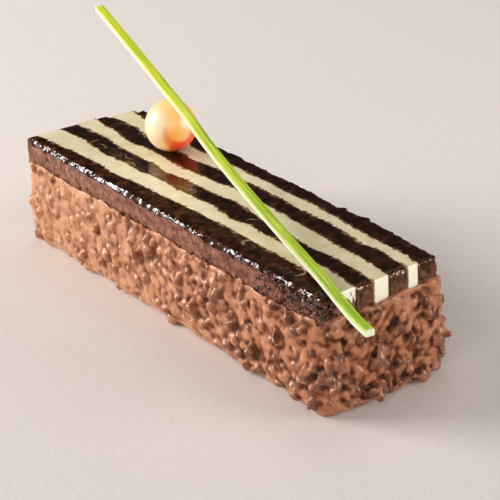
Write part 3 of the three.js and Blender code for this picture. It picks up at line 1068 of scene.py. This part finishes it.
def stalk_bar():
    """A square bar along the route, with rounded and slightly uneven sides. Its points
    are painted with the skin, the place along and across the fibres, and the ripeness, which
    also carries painted shade towards the bar's far side."""
    route = stalk_route()
    bar = fine_block(stalk_cells, stalk_across, stalk_up)
    skin = bar.verts.layers.float.new("skin")
    fibre = bar.verts.layers.float_vector.new("fibre_place")
    ripe_and_shade = bar.verts.layers.float.new("ripe_and_shade")
    for v in bar.verts:
        u, s, w = v.co
        place = u * (len(route) - 1)
        i = min(int(place), len(route) - 2)
        centre = route[i].lerp(route[i + 1], place - i)
        run = (route[min(i + 2, len(route) - 1)] - route[max(i - 1, 0)]).normalized()
        side = Vector((0, 0, 1)).cross(run).normalized()
        up = run.cross(side)
        a = 2 * s - 1
        b = 2 * w - 1
        across = a * math.sqrt(1 - corner_rounding * b * b / 2)
        above = b * math.sqrt(1 - corner_rounding * a * a / 2)
        across *= 1 + 0.05 * noise.noise(Vector((u * 26, a, b)))
        above *= 1 + 0.05 * noise.noise(Vector((u * 22, a + 7, b)))
        near_edge = smooth_step(-a, 0.6, 1.0)
        far_edge = smooth_step(a, 0.5, 0.9)
        cut_end = u < 0.002 or u > 0.998
        v[skin] = 0 if cut_end else smooth_step(above - 0.25 * near_edge + far_edge, -0.75, 0.6)
        v[fibre] = (u * fibre_lengths, across, above)
        # Greener along the bar as it ripens, and deeper green towards the far side as painted shade
        v[ripe_and_shade] = smooth_step(u * fibre_lengths + 1.1 * smooth_step(a, -0.1, 0.9), 0.8, 2.4)
        v.co = centre + side * across * stalk_half_width + up * (above * stalk_half_height)
    bmesh.ops.recalc_face_normals(bar, faces=bar.faces)
    return bar


def stalk_finish():
    """Fibrous skin, from yellow-green where it is young to a fuller green, which also stands for
    painted shade on its far side, and pale flesh where it is cut."""
    material, tree = new_material("green_stem")
    place = painted(tree, "fibre_place", "Vector")
    stretched = add_node(tree, "ShaderNodeMapping", Vector=place, Scale=(3.0, 3.5, 3.5))
    fibres = cloudy(tree, stretched.outputs["Vector"], 1, 3)
    young = toned(
        tree, fibres,
        (0.34, (0.42, 0.52, 0.01)),
        (0.48, (0.60, 0.66, 0.02)),
        (0.62, (0.80, 0.81, 0.08)),
    )
    deep_green = toned(
        tree, fibres,
        (0.34, (0.19, 0.36, 0.01)),
        (0.48, (0.36, 0.50, 0.02)),
        (0.62, (0.58, 0.66, 0.07)),
    )
    green = mixed(tree, young, deep_green, painted(tree, "ripe_and_shade"))
    pale = toned(tree, fibres, (0.35, (0.80, 0.82, 0.42)), (0.6, (0.96, 0.94, 0.76)))
    dress(
        tree,
        Base_Color=mixed(tree, pale, green, painted(tree, "skin")),
        Roughness=0.4,
        Specular_IOR_Level=0.25,
        Subsurface_Weight=0.15,
        Subsurface_Radius=(0.8, 1.0, 0.3),
        Subsurface_Scale=1 * mm,
    )
    return material


add_piece("stalk", stalk_bar(), node="green_stalk", material=stalk_finish())


# ---------------------------------------------------------------------------
# Studio: a pale floor with painted light making it paler towards the far corner, one strong soft box
# at the left, and weaker ones all round.
floor_half_size = 4
floor_depth = 0.2 * mm
painted_light_way = (-0.82, 0.57, 0)
lamp_aim = Vector((0, 0, 40 * mm))


def floor_finish():
    """A matt pale floor, with painted light making it a little paler towards the cake's far corner."""
    material, tree = new_material("pale_floor")
    place = place_on(tree)
    mottle = cloudy(tree, place, 500, 3)
    tone = toned(tree, mottle, (0.3, (0.69, 0.615, 0.565)), (0.7, (0.75, 0.67, 0.62)))
    # Painted light: the floor is paler towards the far corner, standing in for the key lamp's light,
    # which is stronger there
    depth = add_node(tree, "ShaderNodeVectorMath", operation="DOT_PRODUCT")
    feed(tree, depth.inputs[0], place)
    feed(tree, depth.inputs[1], painted_light_way)
    painted_light_share = spread(tree, depth.outputs["Value"], -0.14, 0.14)
    dress(
        tree,
        Base_Color=shaded(tree, tone, toned(tree, painted_light_share, (0.0, 1.0), (1.0, 1.15))),
        Roughness=0.7,
    )
    return material


floor_mesh = bmesh.new()
bmesh.ops.create_grid(floor_mesh, x_segments=1, y_segments=1, size=floor_half_size)
bmesh.ops.translate(floor_mesh, verts=floor_mesh.verts, vec=(0, 0, -floor_depth))
floor_data = bpy.data.meshes.new("floor")
floor_mesh.to_mesh(floor_data)
floor_mesh.free()
floor_data.materials.append(floor_finish())
floor = bpy.data.objects.new("floor", floor_data)
bpy.context.collection.objects.link(floor)


def soft_box(name, direction, distance, width, height, power):
    """A flat white lamp that faces the cake from a direction."""
    lamp = bpy.data.lights.new(name, "AREA")
    lamp.shape = "RECTANGLE"
    lamp.size = width
    lamp.size_y = height
    lamp.energy = power
    stand = bpy.data.objects.new(name, lamp)
    direction = Vector(direction).normalized()
    stand.location = direction * distance + lamp_aim
    stand.rotation_mode = "QUATERNION"
    stand.rotation_quaternion = direction.to_track_quat("Z", "Y")
    bpy.context.collection.objects.link(stand)


soft_box("key", (-0.69, -0.63, 0.38), 1.9, 1.1, 0.95, 44)
soft_box("fill", (0.60, -0.62, 0.50), 2.2, 2.0, 1.6, 22)
soft_box("right", (0.76, 0.62, 0.30), 1.8, 1.2, 0.8, 17)
soft_box("top", (-0.1, 0.2, 1), 2.0, 1.4, 1.4, 4)
soft_box("back", (-0.45, 0.55, 1.1), 1.7, 0.8, 0.8, 3.5)
world = bpy.data.worlds.new("studio")
world.use_nodes = True
sky = world.node_tree.nodes["Background"]
sky.inputs["Color"].default_value = (1.0, 0.96, 0.92, 1)
sky.inputs["Strength"].default_value = 0.05
bpy.context.scene.world = world
bpy.context.scene.view_settings.view_transform = "Standard"
